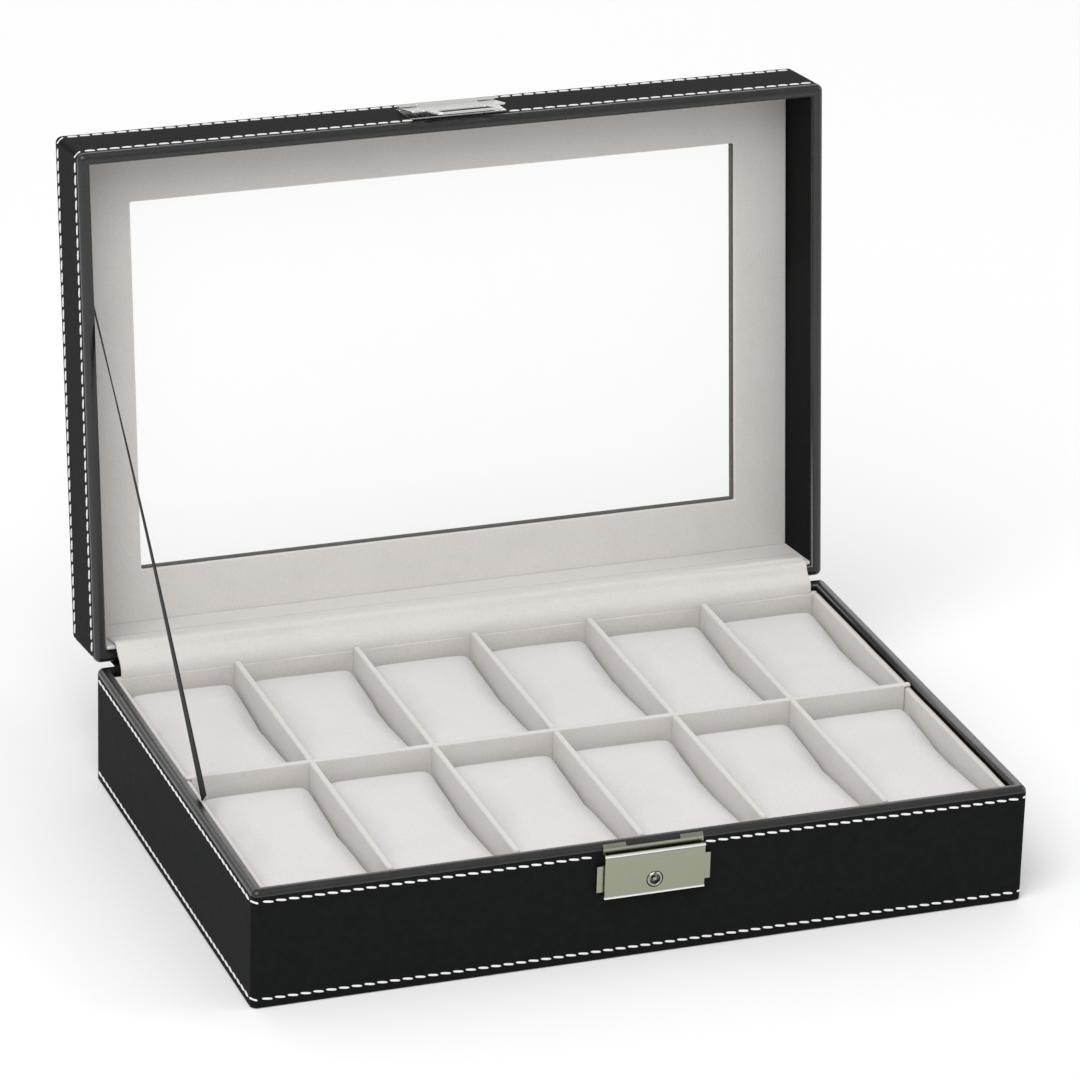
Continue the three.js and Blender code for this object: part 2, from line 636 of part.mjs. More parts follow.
// A flat head on a shank that fills the plate's hole, low enough for the flap to lie over it.
function buildHaspRivets() {
  const back = FRONT - LOCK_PLATE_GAP;
  const profile = [[0, 0.05], [0.75, 0.05], [0.75, 0.64], [1.5, 0.64], [1.35, 0.76], [0.7, 0.82], [0, 0.84]];
  [['left', -1], ['right', 1]].forEach(([side, sign]) => {
    const points = profile.map(([radius, height]) => new THREE.Vector2(radius, height));
    const rivet = new THREE.LatheGeometry(points, 20).rotateX(Math.PI);
    place(lid, `hasp_rivet_${side}`, rivet.translate(LOCK_X + sign * 15, back, 57), chrome());
  });
}

// Flap: a broad leaf, then a narrower tongue with a slot that the lock's bolt enters.
// It is drawn hanging straight down from its own axis, which is the group's origin.
function flapShape() {
  const drop = (z) => z - HASP_AXIS_Z;
  const leaf = LOCK_WIDTH / 2 - 0.3;
  const tongue = 13.4;
  const knuckle = LOCK_WIDTH / 2 - 7.3;
  const outline = filleted([
    [knuckle, drop(HASP_AXIS_Z)], [knuckle, drop(64.2)], [leaf, drop(64.2)],
    [leaf, drop(51.0), 1.0], [tongue, drop(51.0), 1.6], [tongue, drop(HASP_TIP_Z), 2.4],
    [-tongue, drop(HASP_TIP_Z), 2.4], [-tongue, drop(51.0), 1.6], [-leaf, drop(51.0), 1.0],
    [-leaf, drop(64.2)], [-knuckle, drop(64.2)], [-knuckle, drop(HASP_AXIS_Z)],
  ], 3);
  const shape = new THREE.Shape(outline.reverse());
  shape.holes.push(new THREE.Path(filleted([
    [0, drop(39.4)], [10.4, drop(39.4), 1.2], [10.4, drop(49.4), 1.2],
    [-10.4, drop(49.4), 1.2], [-10.4, drop(39.4), 1.2], [0, drop(39.4)],
  ], 3).slice(0, -1)));
  return shape;
}

function buildHaspFlap() {
  hasp.position.set(LOCK_X, FRONT - HASP_AXIS_OUT, HASP_AXIS_Z);
  hasp.rotation.x = -THREE.MathUtils.degToRad(HASP_SWING);
  lid.add(hasp);
  const back = HASP_AXIS_OUT - 1.15;
  const sheet = plateAlongY(flapShape(), back - HASP_SHEET, back);
  const half = LOCK_WIDTH / 2 - 7.3;
  const barrel = haspKnuckle(-half, half, 0, 0);
  const bore = rodAlongX(-half - 1, half + 1, 0, 0, HASP_PIN + 0.05);
  place(hasp, 'hasp_flap', cut(join(sheet, barrel), bore), chrome());
}

// ---------- the whole box ----------

buildTrayShell();
buildTrayLeather();
buildTrayLinings();
buildDividers();
buildPillows();
buildLidShell();
buildLidLeather();
buildLidWindow();
buildHingeSpine();
buildHingeLining();
buildStay();
buildLockPlate();
buildLockCover();
buildLockBarrel();
buildLockBolt();
buildHaspPlate();
buildHaspRivets();
buildHaspFlap();

export default box;
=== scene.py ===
"""Box for twelve watches: its leather, stitching, velvet, ribbon and metal, built round the frame.

Lengths are in metres, with +X right, +Y back and +Z up, as in the frame. The lid is modelled
shut, where its walls stand square, and then turned about its hinge to the pose it rests in.
"""

import json
import logging
import math
from collections.abc import Callable, Iterable, Mapping
from dataclasses import dataclass, field
from enum import Enum
from functools import partial

import bmesh
import bpy
from bmesh.types import BMEdge, BMesh, BMFace, BMVert
from mathutils import Matrix, Vector, noise


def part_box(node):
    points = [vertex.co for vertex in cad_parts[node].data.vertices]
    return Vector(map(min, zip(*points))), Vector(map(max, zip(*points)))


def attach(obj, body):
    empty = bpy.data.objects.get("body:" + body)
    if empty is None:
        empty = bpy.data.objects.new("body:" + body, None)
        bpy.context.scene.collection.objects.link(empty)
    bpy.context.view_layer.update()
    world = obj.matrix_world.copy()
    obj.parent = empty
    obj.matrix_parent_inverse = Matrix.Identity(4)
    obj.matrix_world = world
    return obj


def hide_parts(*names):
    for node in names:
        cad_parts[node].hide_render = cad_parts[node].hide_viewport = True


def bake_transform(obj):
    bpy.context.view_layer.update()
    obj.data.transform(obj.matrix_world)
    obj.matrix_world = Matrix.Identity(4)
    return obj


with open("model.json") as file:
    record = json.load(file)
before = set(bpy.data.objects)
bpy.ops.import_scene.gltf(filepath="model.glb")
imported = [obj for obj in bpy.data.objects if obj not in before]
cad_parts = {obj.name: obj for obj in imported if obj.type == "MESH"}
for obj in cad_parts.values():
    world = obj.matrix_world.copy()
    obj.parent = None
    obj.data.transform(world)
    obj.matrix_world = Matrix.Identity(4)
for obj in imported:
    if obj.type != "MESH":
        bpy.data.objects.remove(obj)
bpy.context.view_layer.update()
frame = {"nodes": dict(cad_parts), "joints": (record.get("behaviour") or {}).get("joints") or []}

log = logging.getLogger("watch_box")

MM = 0.001
TINY = 1e-5
Adder = Callable[..., bpy.types.Node]


# ---------- the frame's own measures ----------


def joint(name: str) -> dict:
    """Finds a joint of the frame.

    Args:
        name: The joint's name.

    Returns:
        The joint as the record states it.
    """
    return next(j for j in frame["joints"] if j["name"] == name)


HINGE = Vector(joint("lid_hinge")["pos_m"])
OPEN_ANGLE = math.radians(-joint("lid_hinge")["range_deg"][0])
TO_OPEN = Matrix.Translation(HINGE) @ Matrix.Rotation(-OPEN_ANGLE, 4, "X") @ Matrix.Translation(-HINGE)
TO_SHUT = TO_OPEN.inverted()


def shut_box(node: str) -> tuple[Vector, Vector]:
    """Measures a lid node with the lid shut.

    Args:
        node: The CAD node's name.

    Returns:
        Its lowest and highest corners.
    """
    points = [TO_SHUT @ v.co for v in frame["nodes"][node].data.vertices]
    low = Vector([min(p[k] for p in points) for k in range(3)])
    high = Vector([max(p[k] for p in points) for k in range(3)])
    return low, high


class Wall(Enum):
    """A side of the box, by the direction that it faces."""

    FRONT = (0, -1)
    BACK = (0, 1)
    LEFT = (-1, 0)
    RIGHT = (1, 0)

    @property
    def outward(self) -> Vector:
        """The wall's outward direction."""
        return Vector((*self.value, 0))

    @property
    def along(self) -> Vector:
        """The direction that a row of stitches runs in."""
        return Vector((-self.value[1], self.value[0], 0))


# ---------- shader nodes and finishes ----------


def linear(colour: str, alpha: float = 1.0) -> tuple[float, float, float, float]:
    """Turns an sRGB hex colour into the linear values that shaders take.

    Args:
        colour: Six hex digits.
        alpha: The fourth value.

    Returns:
        Red, green, blue and alpha.
    """
    srgb = [int(colour[i:i + 2], 16) / 255 for i in (0, 2, 4)]
    values = [c / 12.92 if c <= 0.04045 else ((c + 0.055) / 1.055) ** 2.4 for c in srgb]
    return (*values, alpha)


def per_mm(size: float) -> float:
    """Gives the scale at which a texture's feature has a size in millimetres."""
    return 1 / (size * MM)


def add_node(
    tree: bpy.types.NodeTree, kind: str, inputs: Mapping | None = None, **settings: object
) -> bpy.types.Node:
    """Adds a shader node with its settings and links.

    Args:
        tree: The material's node tree.
        kind: The node's type, without its ShaderNode prefix.
        inputs: Socket name or index to a value, or to the output that it is linked from.
        **settings: The node's own properties.

    Returns:
        The new node.
    """
    node = tree.nodes.new(f"ShaderNode{kind}")
    for key, value in settings.items():
        setattr(node, key, value)
    for name, value in (inputs or {}).items():
        if isinstance(value, bpy.types.NodeSocket):
            tree.links.new(value, node.inputs[name])
        else:
            node.inputs[name].default_value = value
    return node


@dataclass(frozen=True)
class Finish:
    """A material: what it is made of and how its surface was made.

    Attributes:
        name: The material's name.
        colour: Its main colour.
        roughness: Its mean roughness.
    """

    name: str
    colour: str
    roughness: float

    def constants(self) -> dict[str, object]:
        """Values set on the shader's own sockets."""
        return {"Roughness": self.roughness}

    def surface(self, add: Adder, place: bpy.types.NodeSocket) -> dict[str, object]:
        """Builds the pattern nodes.

        Args:
            add: Adds a node to the material; see add_node.
            place: Object coordinates.

        Returns:
            Shader socket name to the output or value that feeds it.
        """
        return {"Base Color": linear(self.colour)}

    def material(self) -> bpy.types.Material:
        """Makes the material, or returns it if it is already made."""
        found = bpy.data.materials.get(self.name)
        if found:
            return found
        made = bpy.data.materials.new(self.name)
        made.use_nodes = True
        tree = made.node_tree
        tree.nodes.clear()
        add = partial(add_node, tree)
        place = add("TexCoord").outputs["Object"]
        inputs = {**self.constants(), **self.surface(add, place)}
        shader = add("BsdfPrincipled", inputs)
        add("OutputMaterial", {"Surface": shader.outputs["BSDF"]})
        return made


@dataclass(frozen=True)
class CoatedLeather(Finish):
    """Polyurethane leather, embossed with a fine pebble grain and coated semi-gloss.

    The pebbles keep flat faces near black. Over the rolled rims the leather is stretched smooth
    and shines, which draws a soft grey line along them.
    The pebbles are drawn at 1.1 mm, twice their real size, because finer ones don't show.

    Attributes:
        specular: How much the grain reflects.
        coat: How much of the coat's gloss is left.
        pebble: The grain's size in millimetres.
        crease: The slow creases' size in millimetres.
        worn: The colour where the coat is thinner.
    """

    specular: float = 0.003
    coat: float = 0.03
    pebble: float = 1.1
    crease: float = 14.0
    worn: str = "1e201f"

    def constants(self) -> dict[str, object]:
        """Values set on the shader's own sockets."""
        return {"Specular IOR Level": self.specular, "Coat Weight": self.coat, "Coat Roughness": 0.25}

    def surface(self, add: Adder, place: bpy.types.NodeSocket) -> dict[str, object]:
        """Pebble bump, uneven gloss and slow creases; see Finish.surface."""
        grain = add("TexVoronoi", {"Vector": place, "Scale": per_mm(self.pebble)}, feature="SMOOTH_F1")
        slow = add("TexNoise", {"Vector": place, "Scale": per_mm(self.crease), "Detail": 3.0})
        fine = add("TexNoise", {"Vector": place, "Scale": per_mm(3.0), "Detail": 4.0})
        gloss = add(
            "MapRange",
            {"Value": fine.outputs["Fac"], "To Min": self.roughness - 0.1, "To Max": self.roughness + 0.12},
        )
        ripple = add("Bump", {"Height": slow.outputs["Fac"], "Strength": 0.2, "Distance": 0.6 * MM})
        bump = add(
            "Bump",
            {
                "Height": grain.outputs["Distance"],
                "Normal": ripple.outputs["Normal"],
                "Strength": 0.3,
                "Distance": 0.12 * MM,
            },
        )
        tint = add(
            "Mix",
            {0: fine.outputs["Fac"], 6: linear(self.colour), 7: linear(self.worn)},
            data_type="RGBA",
        )
        return {
            "Base Color": tint.outputs[2],
            "Roughness": gloss.outputs["Result"],
            "Normal": bump.outputs["Normal"],
        }


@dataclass(frozen=True)
class Velvet(Finish):
    """Short pile velvet, woven and brushed, glued over card or foam.

    The pile gives a pale edge glow and slow light and dark patches where it was stroked.
    The fibres are drawn at 0.7 mm, several times their real size, because finer ones don't show.
    """

    stroked: str = "d9d5d4"
    fibre: float = 0.7
    patch: float = 22.0

    def constants(self) -> dict[str, object]:
        """Values set on the shader's own sockets."""
        return {
            "Roughness": self.roughness,
            "Specular IOR Level": 0.15,
            "Sheen Weight": 0.25,
            "Sheen Roughness": 0.45,
        }

    def surface(self, add: Adder, place: bpy.types.NodeSocket) -> dict[str, object]:
        """Stroked patches, a fibre speckle and a fibre bump; see Finish.surface."""
        patches = add(
            "TexNoise",
            {"Vector": place, "Scale": per_mm(self.patch), "Detail": 3.0, "Distortion": 0.6},
        )
        fibres = add("TexNoise", {"Vector": place, "Scale": per_mm(self.fibre), "Detail": 2.0})
        nap = add(
            "Mix",
            {0: patches.outputs["Fac"], 6: linear(self.colour), 7: linear(self.stroked)},
            data_type="RGBA",
        )
        shade = add(
            "MapRange",
            {
                "Value": fibres.outputs["Fac"],
                "From Min": 0.25,
                "From Max": 0.75,
                "To Min": 0.93,
                "To Max": 1.03,
            },
        )
        speckle = add("VectorMath", {0: nap.outputs[2], "Scale": shade.outputs["Result"]}, operation="SCALE")
        bump = add("Bump", {"Height": fibres.outputs["Fac"], "Strength": 0.3, "Distance": 0.25 * MM})
        return {"Base Color": speckle.outputs["Vector"], "Normal": bump.outputs["Normal"]}


@dataclass(frozen=True)
class PlatedMetal(Finish):
    """Steel sheet, stamped, polished and plated.

    Polishing leaves a clear reflection with a faint cloudiness and hairlines along the sheet.
    """

    cloud: float = 6.0
    hairline: float = 0.5

    def constants(self) -> dict[str, object]:
        """Values set on the shader's own sockets."""
        return {"Metallic": 1.0}

    def surface(self, add: Adder, place: bpy.types.NodeSocket) -> dict[str, object]:
        """Cloudy gloss and long hairlines; see Finish.surface."""
        stretched = add("Mapping", {"Vector": place, "Scale": (0.04, 1.0, 1.0)})
        lines = add(
            "TexNoise",
            {"Vector": stretched.outputs["Vector"], "Scale": per_mm(self.hairline), "Detail": 2.0},
        )
        cloud = add("TexNoise", {"Vector": place, "Scale": per_mm(self.cloud)})
        gloss = add(
            "MapRange",
            {"Value": cloud.outputs["Fac"], "To Min": self.roughness * 0.7, "To Max": self.roughness * 1.4},
        )
        bump = add("Bump", {"Height": lines.outputs["Fac"], "Strength": 0.08, "Distance": 0.05 * MM})
        return {
            "Base Color": linear(self.colour),
            "Roughness": gloss.outputs["Result"],
            "Normal": bump.outputs["Normal"],
        }


@dataclass(frozen=True)
class SpunThread(Finish):
    """Waxed polyester thread, twisted from strands, which show as a slanting ripple."""

    strand: float = 0.45

    def surface(self, add: Adder, place: bpy.types.NodeSocket) -> dict[str, object]:
        """Slanting strands; see Finish.surface."""
        slant = add("Mapping", {"Vector": place, "Rotation": (0.5, 0.5, 0.6)})
        strands = add(
            "TexWave",
            {"Vector": slant.outputs["Vector"], "Scale": per_mm(self.strand) / 20, "Distortion": 0.4},
        )
        bump = add("Bump", {"Height": strands.outputs["Fac"], "Strength": 0.35, "Distance": 0.1 * MM})
        return {"Base Color": linear(self.colour), "Normal": bump.outputs["Normal"]}


@dataclass(frozen=True)
class WovenRibbon(Finish):
    """Polyester taffeta ribbon: close ribs across it, which dull it and give a faint line pattern."""

    rib: float = 0.6

    def surface(self, add: Adder, place: bpy.types.NodeSocket) -> dict[str, object]:
        """Ribs across the ribbon; see Finish.surface."""
        ribs = add(
            "TexWave",
            {"Vector": place, "Scale": per_mm(self.rib) / 20, "Distortion": 0.2},
            bands_direction="Z",
        )
        bump = add("Bump", {"Height": ribs.outputs["Fac"], "Strength": 0.4, "Distance": 0.12 * MM})
        return {"Base Color": linear(self.colour), "Normal": bump.outputs["Normal"]}


@dataclass(frozen=True)
class PressedBoard(Finish):
    """Medium density fibreboard, pressed and sawn: brown fibres with no grain direction."""

    fibre: float = 1.2
    dark: str = "6f5a41"

    def surface(self, add: Adder, place: bpy.types.NodeSocket) -> dict[str, object]:
        """Short fibres in two browns; see Finish.surface."""
        fibres = add("TexNoise", {"Vector": place, "Scale": per_mm(self.fibre), "Detail": 5.0})
        brown = add(
            "Mix",
            {0: fibres.outputs["Fac"], 6: linear(self.colour), 7: linear(self.dark)},
            data_type="RGBA",
        )
        return {"Base Color": brown.outputs[2]}


@dataclass(frozen=True)
class FlockedFelt(Finish):
    """Flock sprayed on a backing: short upright fibres that read as a matt black speckle."""

    fibre: float = 0.8

    def surface(self, add: Adder, place: bpy.types.NodeSocket) -> dict[str, object]:
        """A speckled matt bump; see Finish.surface."""
        fibres = add("TexNoise", {"Vector": place, "Scale": per_mm(self.fibre), "Detail": 3.0})
        bump = add("Bump", {"Height": fibres.outputs["Fac"], "Strength": 0.5, "Distance": 0.3 * MM})
        return {"Base Color": linear(self.colour), "Normal": bump.outputs["Normal"]}


@dataclass(frozen=True)
class FloatGlass(Finish):
    """Float glass, flat and clear, which shows only by a faint reflection."""

    def constants(self) -> dict[str, object]:
        """Values set on the shader's own sockets."""
        return {"Roughness": self.roughness, "IOR": 1.5, "Alpha": 0.08}


LEATHER = CoatedLeather("pu_leather_embossed", "151716", 0.36)
RIM_LEATHER = CoatedLeather("pu_leather_stretched", "0c0d0d", 0.28, specular=0.45, coat=0.35)
LINING = Velvet("velvet_pile_lining", "dcd8d4", 0.95, stroked="d4d0cc")
SUEDE = Velvet("velvet_suede_pillow", "e0dcdd", 0.95, stroked="d6d2d2", patch=30.0)
CHROME = PlatedMetal("chrome_plate_polished", "f4f4f2", 0.2)
NICKEL = PlatedMetal("nickel_plate_satin", "9a9c8a", 0.24)
STEEL = PlatedMetal("steel_turned_oiled", "a3a29c", 0.18)
THREAD = SpunThread("polyester_thread_waxed", "f1efec", 0.6)
RIBBON = WovenRibbon("taffeta_ribbon_woven", "12100f", 0.8)
BOARD = PressedBoard("fibreboard_pressed", "8a7355", 0.9)
FELT = FlockedFelt("felt_flocked", "1d1d1d", 1.0)
GLASS = FloatGlass("float_glass_clear", "f6faf8", 0.02)


# ---------- mesh helpers ----------


def slab(low: Vector, high: Vector) -> BMesh:
    """Makes a box.

    Args:
        low: Its lowest corner.
        high: Its highest corner.

    Returns:
        A new mesh.
    """
    bm = bmesh.new()
    size = Matrix.Diagonal((*(high - low), 1))
    bmesh.ops.create_cube(bm, size=1.0, matrix=Matrix.Translation((low + high) / 2) @ size)
    return bm


def facing(bm: BMesh, direction: Vector) -> BMFace:
    """Finds the face whose normal is nearest a direction."""
    bm.normal_update()
    return max(bm.faces, key=lambda face: face.normal.dot(direction))


def round_edges(bm: BMesh, width: float, segments: int, wanted: Callable[[BMEdge], bool]) -> None:
    """Rounds the sharp edges that pass a test.

    Args:
        bm: The mesh.
        width: The bevel's width.
        segments: Steps in the rounding.
        wanted: The test.
    """
    sharp = [e for e in bm.edges if e.is_manifold and e.calc_face_angle() > math.radians(50) and wanted(e)]
    bmesh.ops.bevel(
        bm, geom=sharp, offset=width, segments=segments, profile=0.5, affect="EDGES", material=-1
    )


def pulled(bm: BMesh, face: BMFace, offset: Vector) -> BMFace:
    """Extrudes a face.

    Args:
        bm: The mesh.
        face: The face, which is used up.
        offset: How far it goes.

    Returns:
        The face at the end.
    """
    made = bmesh.ops.extrude_face_region(bm, geom=[face])["geom"]
    corners = [g for g in made if isinstance(g, BMVert)]
    bmesh.ops.translate(bm, verts=corners, vec=offset)
    if face.is_valid:
        bmesh.ops.delete(bm, geom=[face], context="FACES_ONLY")
    return next(g for g in made if isinstance(g, BMFace))


def sliced(bm: BMesh, axis: int, step: float) -> None:
    """Cuts a mesh across an axis at even steps, so that it can bend or ripple.

    Args:
        bm: The mesh.
        axis: 0, 1 or 2.
        step: About how far apart the cuts are.
    """
    low = min(v.co[axis] for v in bm.verts)
    high = max(v.co[axis] for v in bm.verts)
    count = max(1, round((high - low) / step))
    normal = Vector([float(k == axis) for k in range(3)])
    for k in range(1, count):
        place = normal * (low + (high - low) * k / count)
        bmesh.ops.bisect_plane(bm, geom=[*bm.verts, *bm.edges, *bm.faces], plane_co=place, plane_no=normal)


def merged(parts: Iterable[BMesh]) -> BMesh:
    """Puts meshes together in one and frees them."""
    whole = bmesh.new()
    for part in parts:
        mesh = bpy.data.meshes.new("part")
        part.to_mesh(mesh)
        part.free()
        whole.from_mesh(mesh)
        bpy.data.meshes.remove(mesh)
    return whole


def rippled(bm: BMesh, height: float, length: float, seed: float) -> None:
    """Moves a soft surface a little along its normals.

    Args:
        bm: The mesh.
        height: The largest movement, about.
        length: How long a ripple is.
        seed: Picks the pattern.
    """
    bm.normal_update()
    for vert in bm.verts:
        vert.co += vert.normal * height * noise.noise(vert.co / length + Vector((seed, 0, 0)))


@dataclass
class Assembly:
    """A group of pieces.

    Attributes:
        made: The pieces made so far.
    """

    made: list[bpy.types.Object] = field(default_factory=list, init=False)

    def piece(
        self,
        name: str,
        bm: BMesh,
        finish: Finish,
        slot: str,
        body: str | None,
        stands_for: Iterable[str] = (),
        thickness: float = 0.0,
        second: Finish | None = None,
    ) -> bpy.types.Object:
        """Turns a mesh into a dressed object.

        Args:
            name: The piece's name.
            bm: Its mesh, which is freed.
            finish: What it is made of.
            slot: The record's material slot; not used.
            body: The body that it rides on, or None if it bends between two.
            stands_for: The CAD nodes that it replaces.
            thickness: For an open sheet, how thick it is, inwards.
            second: The finish of the faces with material index 1, if there are any.

        Returns:
            The new object.
        """
        mesh = bpy.data.meshes.new(name)
        bm.to_mesh(mesh)
        bm.free()
        mesh.shade_smooth()
        made = bpy.data.objects.new(name, mesh)
        bpy.context.scene.collection.objects.link(made)
        mesh.materials.append(finish.material())
        if second:
            mesh.materials.append(second.material())
        if thickness:
            wall = made.modifiers.new("thickness", "SOLIDIFY")
            wall.thickness = thickness
            wall.offset = -1.0
        made.modifiers.new("normals", "WEIGHTED_NORMAL").keep_sharp = True
        if stands_for:
            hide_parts(*stands_for)
        if body:
            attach(made, body)
        self.made.append(made)
        log.info("made %s", name)
        return made

    def dress(self, finish: Finish, *nodes: str, edge: float = 0.0) -> None:
        """Gives CAD nodes a finish, and soft edges if they are pressed metal.

        Args:
            finish: What they are made of.
            *nodes: Their names.
            edge: The rounding of their edges.
        """
        for name in nodes:
            node = frame["nodes"][name]
            if not node.material_slots:
                node.data.materials.append(None)
            for each in node.material_slots:
                each.link = "OBJECT"
                each.material = finish.material()
            if edge:
                node.modifiers.new("weld", "WELD").merge_threshold = 0.005 * MM
                rounding = node.modifiers.new("edges", "BEVEL")
                rounding.width = edge
                rounding.segments = 2
                rounding.limit_method = "ANGLE"
                rounding.angle_limit = math.radians(40)
                node.modifiers.new("normals", "WEIGHTED_NORMAL")
            log.info("dressed %s", name)


# ---------- stitching ----------


@dataclass(frozen=True)
class Stitching:
    """A row of saddle stitches round the box.

    Attributes:
        pitch: From one stitch to the next.
        thread: The thread's diameter.
        slant: How far each stitch turns off the row.
        corner: How far from a corner the straight runs stop.
        inset: How far in from the corner point its own stitch lies.
        lift: How far a stitch's middle stands off the leather.
        share: A stitch's length, as a share of the pitch.
        blunt: How blunt its ends are, from 1 for an ellipsoid to 0 for a cylinder.
    """

    pitch: float = 4.8 * MM
    thread: float = 0.9 * MM
    slant: float = math.radians(8)
    corner: float = 3.4 * MM
    inset: float = 1.35 * MM
    lift: float = 0.1 * MM
    share: float = 0.84
    blunt: float = 0.55

    def stitch(self) -> bpy.types.Mesh:
        """Makes one stitch a metre long: a round thread whose ends dip into the leather."""
        bm = bmesh.new()
        bmesh.ops.create_uvsphere(
            bm, u_segments=8, v_segments=6, radius=0.5, matrix=Matrix.Rotation(math.pi / 2, 4, "Y")
        )
        for vert in bm.verts:
            vert.co.x = math.copysign(0.5 * abs(2 * vert.co.x) ** self.blunt, vert.co.x)
        mesh = bpy.data.meshes.new("stitch")
        bm.to_mesh(mesh)
        bm.free()
        return mesh

    def sew(self, bm: BMesh, mesh: bpy.types.Mesh, middle: Vector, length: float, out: Vector) -> None:
        """Adds one stitch.

        Args:
            bm: The row's mesh.
            mesh: The stitch from stitch().
            middle: Its place on the leather.
            length: Its length.
            out: The leather's outward direction.
        """
        along = Vector((-out.y, out.x, 0)).normalized()
        turn = Matrix((along, out, Vector((0, 0, 1)))).transposed().to_4x4()
        slanted = turn @ Matrix.Rotation(self.slant, 4, "Y")
        size = Matrix.Diagonal((length, self.thread, self.thread, 1))
        first = len(bm.verts)
        bm.from_mesh(mesh)
        bm.verts.ensure_lookup_table()
        place = Matrix.Translation(middle + out * self.lift) @ slanted @ size
        bmesh.ops.transform(bm, matrix=place, verts=bm.verts[first:])

    def row(self, low: Vector, high: Vector, height: float, gap: tuple[float, float] | None) -> BMesh:
        """Sews a row round the four walls of a box.

        Args:
            low: The box's lowest corner.
            high: Its highest corner.
            height: The row's height.
            gap: Where along the front nothing is sewn, or None.

        Returns:
            A new mesh.
        """
        bm = bmesh.new()
        mesh = self.stitch()
        half = (high - low) / 2
        centre = (low + high) / 2
        for wall in Wall:
            reach = abs(wall.along.dot(half)) - self.corner
            out = abs(wall.outward.dot(half))
            count = round(2 * reach / self.pitch)
            step = 2 * reach / count
            for k in range(count):
                spot = centre + wall.outward * out + wall.along * ((k + 0.5) * step - reach)
                spot.z = height
                if wall is Wall.FRONT and gap and gap[0] < spot.x < gap[1]:
                    continue
                self.sew(bm, mesh, spot, step * self.share, wall.outward)
            diagonal = (wall.outward + wall.along).normalized()
            spot = centre + wall.outward * out + wall.along * (reach + self.corner) - diagonal * self.inset
            spot.z = height
            self.sew(bm, mesh, spot, self.corner, diagonal)
        bpy.data.meshes.remove(mesh)
        return bm


# ---------- leather covers ----------


@dataclass
class Cover(Assembly):
    """A leather cover stretched round a box of boards and rolled over its rim.

    Attributes:
        skin: The leather's thickness.
        rim: The rim's width.
        corner: Rounding of the upright corners.
        outer: Rounding of the rim's outer edge.
        inner: Rounding of the rim's inner edge.
        stitching: How its rows are sewn.
    """

    skin: float = 0.8 * MM
    rim: float = 4.6 * MM
    corner: float = 2.5 * MM
    outer: float = 2.2 * MM
    inner: float = 1.6 * MM
    stitching: Stitching = field(default_factory=Stitching)

    def shell(
        self,
        low: Vector,
        high: Vector,
        up: float,
        turned_in: float,
        window: tuple[float, float] | None = None,
    ) -> BMesh:
        """Makes the skin with its rolled rim.

        Args:
            low: The cover's lowest corner.
            high: Its highest corner.
            up: 1 if the rim is on top, -1 if it is below.
            turned_in: How far the leather goes down inside the rim.
            window: The width of the border round a window in the far side, and how far the leather
                turns in at it, or None if the far side is closed.

        Returns:
            A new mesh.
        """
        bm = slab(low, high)
        rim = high.z if up > 0 else low.z
        if window:
            far = facing(bm, Vector((0, 0, -up)))
            bmesh.ops.inset_region(bm, faces=[far], thickness=window[0], use_even_offset=True)
            hole = pulled(bm, far, Vector((0, 0, up * window[1])))
            bmesh.ops.delete(bm, geom=[hole], context="FACES_ONLY")
        mouth = facing(bm, Vector((0, 0, up)))
        bmesh.ops.inset_region(bm, faces=[mouth], thickness=self.rim, use_even_offset=True)
        mouth = pulled(bm, mouth, Vector((0, 0, -up * turned_in)))
        bmesh.ops.delete(bm, geom=[mouth], context="FACES_ONLY")
        centre = (low + high) / 2
        half = (high - low) / 2

        def outside(edge: BMEdge) -> bool:
            """Tests whether an edge is on the outer walls."""
            off = (edge.verts[0].co + edge.verts[1].co) / 2 - centre
            return max(abs(off.x) / half.x, abs(off.y) / half.y) > 0.98

        def upright(edge: BMEdge) -> bool:
            """Tests whether an edge runs along Z."""
            return abs(edge.verts[0].co.z - edge.verts[1].co.z) > TINY

        def on_rim(edge: BMEdge) -> bool:
            """Tests whether an edge lies in the rim's plane."""
            return all(abs(v.co.z - rim) < TINY for v in edge.verts)

        round_edges(bm, self.corner, 6, lambda e: upright(e) and outside(e))
        round_edges(bm, self.outer, 6, lambda e: on_rim(e) and outside(e))
        round_edges(bm, self.inner, 5, lambda e: on_rim(e) and not outside(e))
        for face in bm.faces:
            face.material_index = int(abs(face.calc_center_median().z - rim) < self.outer)
        return bm


@dataclass
class TrayShell(Cover):
    """The tray's leather, its stitching, its boards and its felt.

    Attributes:
        upper_row: The upper row of stitches, down from the rim.
        lower_row: The lower row's height.
        turned_in: How far the leather goes down inside the rim.
    """

    upper_row: float = 4.2 * MM
    lower_row: float = 3.7 * MM
    turned_in: float = 12 * MM

    def build(self) -> None:
        """Makes the cover, sews it and dresses what it hides."""
        low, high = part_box("base_leather")
        bm = self.shell(low, high, 1.0, self.turned_in)
        bottom = facing(bm, Vector((0, 0, -1)))
        bmesh.ops.delete(bm, geom=[bottom], context="FACES_ONLY")
        self.piece(
            "tray_leather", bm, LEATHER, "black_leather", "tray", ["base_leather"], self.skin, RIM_LEATHER
        )
        lock_low, lock_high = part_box("lock_back_plate")
        gap = (lock_low.x, lock_high.x)
        upper = self.stitching.row(low, high, high.z - self.upper_row, gap)
        self.piece("tray_stitches_upper", upper, THREAD, "black_leather", "tray")
        lower = self.stitching.row(low, high, self.lower_row, None)
        self.piece("tray_stitches_lower", lower, THREAD, "black_leather", "tray")
        walls = [f"base_wall_{wall.name.lower()}" for wall in Wall]
        self.dress(BOARD, "base_bottom_board", *walls)
        self.dress(FELT, "base_underside")


